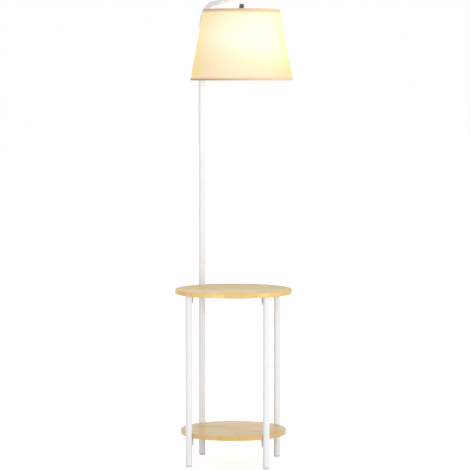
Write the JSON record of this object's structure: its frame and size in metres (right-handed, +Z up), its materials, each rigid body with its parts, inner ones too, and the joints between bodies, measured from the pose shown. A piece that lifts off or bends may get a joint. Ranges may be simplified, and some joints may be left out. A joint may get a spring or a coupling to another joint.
{
  "type": "floor lamp with table",
  "caption": "Slim floor lamp rising from a small round side table with a lower shelf; a bent arm carries a tapered fabric shade over the table.",
  "frame": {"origin": "on the floor, under the middle of the whole lamp's outline", "axes": "+Z up; +X from the pole to the shade; the lamp is the same on both sides of the XZ plane, so +Y is its left"},
  "size_m": [0.4, 0.38, 1.517],
  "materials": {
    "wood_board": "clear satin lacquer",
    "white_paint": "white powder coat",
    "grey_plastic": "moulded",
    "steel": "zinc plated",
    "black_rubber": "matt",
    "white_plastic": "moulded",
    "dark_nickel": "dark nickel plate",
    "holder_plastic": "moulded",
    "brass": "stamped",
    "cap_metal": "stamped",
    "board_metal": "white solder mask",
    "milky_plastic": "milky",
    "shade_fabric": "woven on a stiff liner",
    "binding_fabric": "woven tape",
    "wire_steel": "white coat"
  },
  "bodies": {
    "stand": {"table_top": "wood_board", "lower_shelf": "wood_board", "front_leg": "white_paint", "left_leg": "white_paint", "rear_leg": "white_paint", "right_leg": "white_paint", "front_foot_cap": "grey_plastic", "left_foot_cap": "grey_plastic", "rear_foot_cap": "grey_plastic", "right_foot_cap": "grey_plastic", "front_table_bracket": "white_paint", "left_table_bracket": "white_paint", "rear_table_bracket": "white_paint", "right_table_bracket": "white_paint", "front_shelf_bracket": "white_paint", "left_shelf_bracket": "white_paint", "rear_shelf_bracket": "white_paint", "right_shelf_bracket": "white_paint", "table_bracket_screws": "steel", "shelf_bracket_screws": "steel", "cord_gland": "black_rubber", "lower_pole": "white_paint", "upper_pole": "white_paint", "threaded_plugs": "steel", "table_stud": "steel", "pole_stud": "steel", "pole_collar": "white_paint", "swivel_bush": "white_plastic", "stop_screw": "steel"},
    "arm": {"arm_spigot": "steel", "arm_tube": "white_paint", "arm_end_cap": "white_plastic", "arm_boss": "white_paint"},
    "knuckle": {"knuckle_nipple": "dark_nickel", "lock_nut": "dark_nickel", "knuckle_upper": "dark_nickel"},
    "shade": {"knuckle_lower": "dark_nickel", "knuckle_screw": "dark_nickel", "knuckle_nut": "dark_nickel", "friction_washer": "white_plastic", "holder_nipple": "dark_nickel", "holder_cap": "holder_plastic", "holder_body": "holder_plastic", "holder_insert": "holder_plastic", "thread_sleeve": "brass", "centre_contact": "brass", "terminal_screws": "brass", "shade_ring": "holder_plastic", "bulb_tip": "brass", "bulb_cap": "cap_metal", "bulb_housing": "white_plastic", "bulb_board": "board_metal", "bulb_diffuser": "milky_plastic", "shade_cloth": "shade_fabric", "top_binding": "binding_fabric", "bottom_binding": "binding_fabric", "shade_spider": "wire_steel", "bottom_ring": "wire_steel"}
  },
  "joints": [
    {"name": "arm_swing", "type": "hinge", "parent": "stand", "child": "arm", "pos_m": [-0.18752, 0, 1.352], "axis": [0, 0, 1], "range_deg": [-150, 150]},
    {"name": "shade_turn", "type": "hinge", "parent": "arm", "child": "knuckle", "pos_m": [0.03448, 0, 1.48691], "axis": [0, 0, 1], "range_deg": [-90, 90]},
    {"name": "shade_tilt", "type": "hinge", "parent": "knuckle", "child": "shade", "pos_m": [0.03448, 0, 1.47891], "axis": [0, 1, 0], "range_deg": [-60, 7]}
  ]
}
